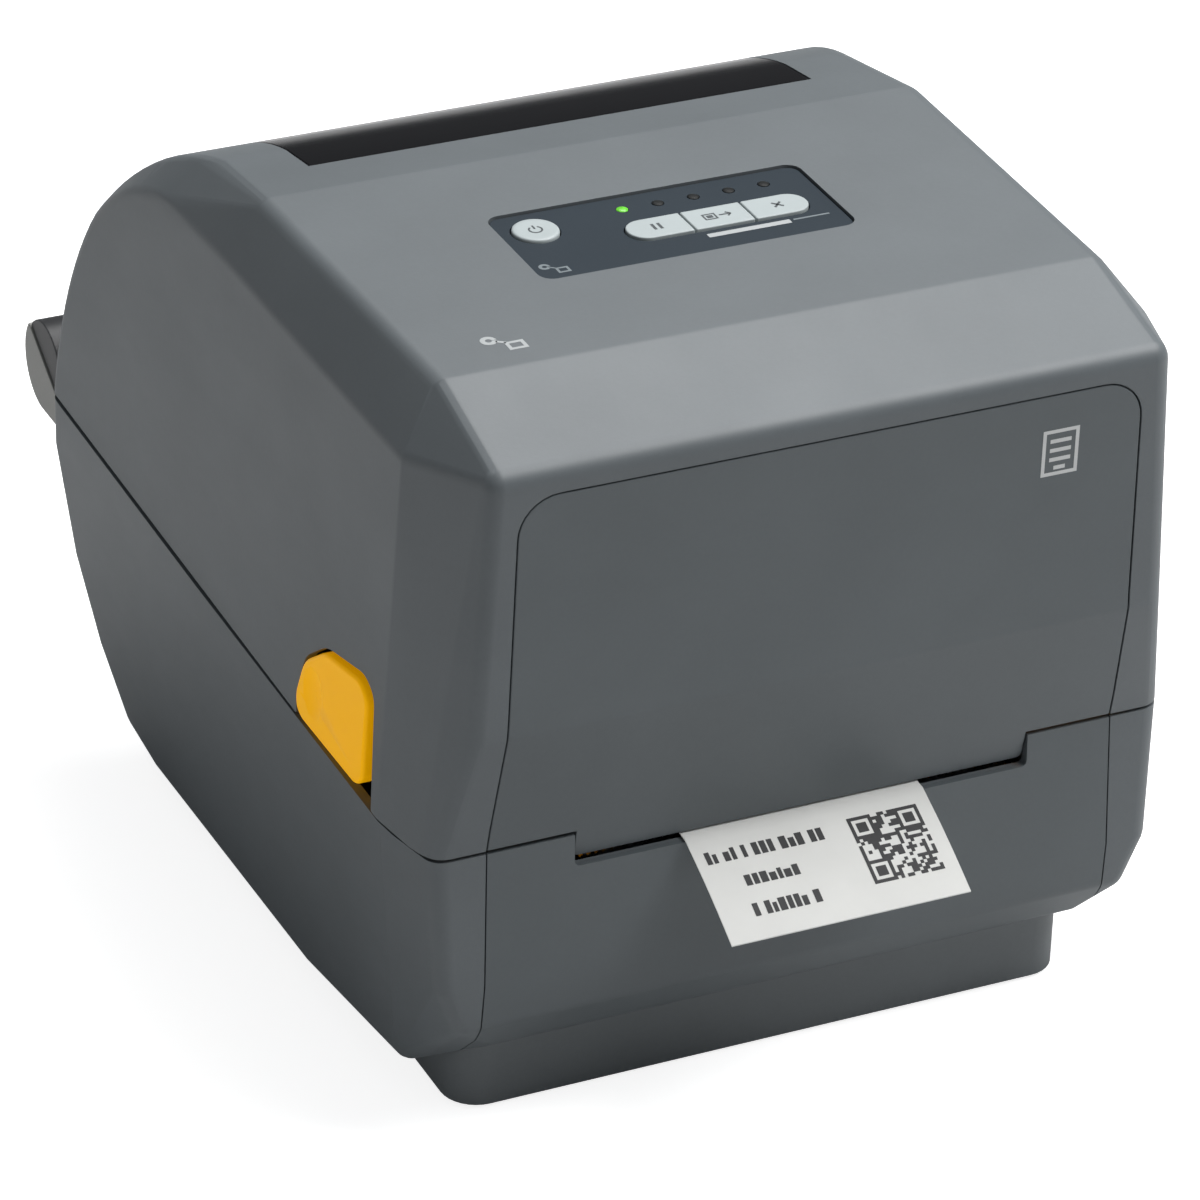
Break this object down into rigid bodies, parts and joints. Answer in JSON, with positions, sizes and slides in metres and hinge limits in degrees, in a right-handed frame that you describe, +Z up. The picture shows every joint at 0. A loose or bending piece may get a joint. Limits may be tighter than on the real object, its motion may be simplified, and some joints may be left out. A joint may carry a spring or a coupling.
{
  "type": "desktop label printer",
  "caption": "Desktop label printer with a hinged lid, side latch levers, a control panel on top, a smoked rear window and a printed label in its front slot.",
  "frame": {"origin": "on the table plane, at the centre of the footprint that includes the printed label", "axes": "+X to the right seen from the back of the viewer facing the front, +Y from the front to the back, +Z up"},
  "size_m": [0.2034, 0.285, 0.1911],
  "materials": {
    "casing": "fine-textured charcoal grey",
    "front_panel": "smoother charcoal grey",
    "foot": "dark charcoal",
    "rubber": "black",
    "steel": "plain",
    "black_plastic": "black moulded",
    "nylon": "natural acetal",
    "brass": "plain",
    "motor": "black can",
    "board": "green solder mask",
    "port_metal": "nickel plated",
    "taupe": "light taupe",
    "paper": "matt label stock",
    "cardboard": "brown core board",
    "window": "smoked, glossy",
    "panel_film": "dark overlay",
    "key": "light grey",
    "led": "green lens",
    "latch": "yellow-orange",
    "head": "extruded",
    "ribbon": "black film",
    "hub": "blue"
  },
  "bodies": {
    "base": {"base_shell": "casing", "base_front_panel": "front_panel", "bottom_pan": "foot", "rubber_feet": "rubber", "case_screws": "steel", "chassis": "black_plastic", "media_tray": "black_plastic", "tear_bar": "steel", "platen_bearings": "nylon", "stepper_motor": "motor", "main_board": "board", "data_ports": "port_metal", "power_inlet": "black_plastic", "rear_panel": "black_plastic", "hinge_knuckles": "taupe", "hinge_pins": "steel", "latch_catches": "black_plastic", "label_web": "paper", "printed_label": "paper"},
    "platen": {"platen_shaft": "steel", "platen_rubber": "rubber", "platen_gear": "nylon"},
    "idler": {"idler_gear": "nylon"},
    "pinion": {"motor_pinion": "brass"},
    "roll": {"label_roll": "paper", "roll_core": "cardboard"},
    "holder_left": {"roll_holder_left": "black_plastic"},
    "holder_right": {"roll_holder_right": "black_plastic"},
    "holder_drive": {"holder_pinion": "nylon"},
    "guide_left": {"media_guide_left": "black_plastic"},
    "guide_right": {"media_guide_right": "black_plastic"},
    "guide_drive": {"guide_pinion": "nylon"},
    "sensor": {"media_sensor": "hub"},
    "lid": {"lid_shell": "casing", "lid_front_panel": "front_panel", "rear_window": "window", "control_panel": "panel_film", "control_board": "board", "status_leds": "led", "lid_hinge_arms": "black_plastic", "ribbon_frame": "black_plastic", "head_pivot_rod": "steel", "head_springs": "steel", "ribbon_motor": "port_metal", "ribbon_film": "ribbon"},
    "power_button": {"power_key": "key"},
    "pause_button": {"pause_key": "key"},
    "feed_button": {"feed_key": "key"},
    "cancel_button": {"cancel_key": "key"},
    "latch": {"latch_shaft": "steel", "latch_levers": "latch"},
    "head": {"printhead": "head"},
    "supply": {"supply_ribbon": "ribbon", "supply_spindle": "hub"},
    "supply_end": {"supply_hub": "hub"},
    "takeup": {"takeup_ribbon": "ribbon", "takeup_spindle": "hub"},
    "takeup_end": {"takeup_hub": "hub"},
    "ribbon_gear": {"ribbon_idler": "nylon"},
    "ribbon_drive": {"ribbon_motor_pinion": "brass"}
  },
  "joints": [
    {"name": "lid_hinge", "type": "hinge", "parent": "base", "child": "lid", "pos_m": [0, 0.13, 0.089], "axis": [-1, 0, 0], "range_deg": [0, 88]},
    {"name": "latch_release", "type": "hinge", "parent": "lid", "child": "latch", "pos_m": [0, -0.062, 0.124], "axis": [-1, 0, 0], "range_deg": [0, 4.5], "stiffness_Nm_per_rad": 2, "springref_deg": -1.15},
    {"name": "power_press", "type": "slide", "parent": "lid", "child": "power_button", "axis": [0, 0, -1], "range_m": [0, 0.0006], "stiffness_N_per_m": 1500, "springref_m": -0.0004},
    {"name": "pause_press", "type": "slide", "parent": "lid", "child": "pause_button", "axis": [0, 0, -1], "range_m": [0, 0.0006], "stiffness_N_per_m": 1500, "springref_m": -0.0004},
    {"name": "feed_press", "type": "slide", "parent": "lid", "child": "feed_button", "axis": [0, 0, -1], "range_m": [0, 0.0006], "stiffness_N_per_m": 1500, "springref_m": -0.0004},
    {"name": "cancel_press", "type": "slide", "parent": "lid", "child": "cancel_button", "axis": [0, 0, -1], "range_m": [0, 0.0006], "stiffness_N_per_m": 1500, "springref_m": -0.0004},
    {"name": "head_pivot", "type": "hinge", "parent": "lid", "child": "head", "pos_m": [0, -0.07, 0.098], "axis": [-1, 0, 0], "range_deg": [0, 2.5], "stiffness_Nm_per_rad": 20, "springref_deg": -2.86, "deforming": ["head_springs"]},
    {"name": "roll_spin", "type": "hinge", "parent": "base", "child": "roll", "pos_m": [0, 0.022, 0.068], "axis": [1, 0, 0], "continuous": true},
    {"name": "platen_spin", "type": "hinge", "parent": "base", "child": "platen", "pos_m": [0, -0.097, 0.066], "axis": [1, 0, 0], "continuous": true},
    {"name": "idler_spin", "type": "hinge", "parent": "base", "child": "idler", "pos_m": [0, -0.0838, 0.04314], "axis": [1, 0, 0], "continuous": true},
    {"name": "motor_spin", "type": "hinge", "parent": "base", "child": "pinion", "pos_m": [0, -0.06717, 0.03354], "axis": [1, 0, 0], "continuous": true},
    {"name": "takeup_spin", "type": "hinge", "parent": "lid", "child": "takeup", "pos_m": [0, -0.078, 0.15], "axis": [1, 0, 0], "continuous": true},
    {"name": "ribbon_idler_spin", "type": "hinge", "parent": "lid", "child": "ribbon_gear", "pos_m": [0, -0.0588, 0.15], "axis": [1, 0, 0], "continuous": true},
    {"name": "ribbon_motor_spin", "type": "hinge", "parent": "lid", "child": "ribbon_drive", "pos_m": [0, -0.0528, 0.16039], "axis": [1, 0, 0], "continuous": true},
    {"name": "supply_spin", "type": "hinge", "parent": "lid", "child": "supply", "pos_m": [0, 0.005, 0.158], "axis": [1, 0, 0], "continuous": true},
    {"name": "holder_left_slide", "type": "slide", "parent": "base", "child": "holder_left", "axis": [-1, 0, 0], "range_m": [0, 0.024]},
    {"name": "holder_right_slide", "type": "slide", "parent": "base", "child": "holder_right", "axis": [1, 0, 0], "range_m": [0, 0.024]},
    {"name": "holder_pinion_spin", "type": "hinge", "parent": "base", "child": "holder_drive", "pos_m": [0, 0.022, 0.016], "axis": [0, 0, 1], "range_deg": [0, 196.64]},
    {"name": "guide_left_slide", "type": "slide", "parent": "base", "child": "guide_left", "axis": [-1, 0, 0], "range_m": [0, 0.024]},
    {"name": "guide_right_slide", "type": "slide", "parent": "base", "child": "guide_right", "axis": [1, 0, 0], "range_m": [0, 0.024]},
    {"name": "guide_pinion_spin", "type": "hinge", "parent": "base", "child": "guide_drive", "pos_m": [0, -0.048, 0.0635], "axis": [0, 0, 1], "range_deg": [0, 275.22]},
    {"name": "sensor_slide", "type": "slide", "parent": "base", "child": "sensor", "axis": [1, 0, 0], "range_m": [-0.03, 0.03]},
    {"name": "supply_hub_slide", "type": "slide", "parent": "supply", "child": "supply_end", "axis": [-1, 0, 0], "range_m": [0, 0.0084], "stiffness_N_per_m": 300, "springref_m": -0.002},
    {"name": "takeup_hub_slide", "type": "slide", "parent": "takeup", "child": "takeup_end", "axis": [-1, 0, 0], "range_m": [0, 0.0084], "stiffness_N_per_m": 300, "springref_m": -0.002}
  ],
  "couplings": [
    {"joint": "platen_spin", "follows": "roll_spin", "ratio": 5.6471},
    {"joint": "idler_spin", "follows": "roll_spin", "ratio": -4.7059},
    {"joint": "motor_spin", "follows": "roll_spin", "ratio": 14.118},
    {"joint": "takeup_spin", "follows": "roll_spin", "ratio": -4.3636},
    {"joint": "ribbon_idler_spin", "follows": "roll_spin", "ratio": 6.1091},
    {"joint": "ribbon_motor_spin", "follows": "roll_spin", "ratio": -12.218},
    {"joint": "supply_spin", "follows": "roll_spin", "ratio": -2.8235},
    {"joint": "holder_right_slide", "follows": "holder_left_slide", "ratio": 1},
    {"joint": "holder_pinion_spin", "follows": "holder_left_slide", "rad_per_m": 142.86},
    {"joint": "guide_right_slide", "follows": "guide_left_slide", "ratio": 1},
    {"joint": "guide_pinion_spin", "follows": "guide_left_slide", "rad_per_m": 200}
  ]
}
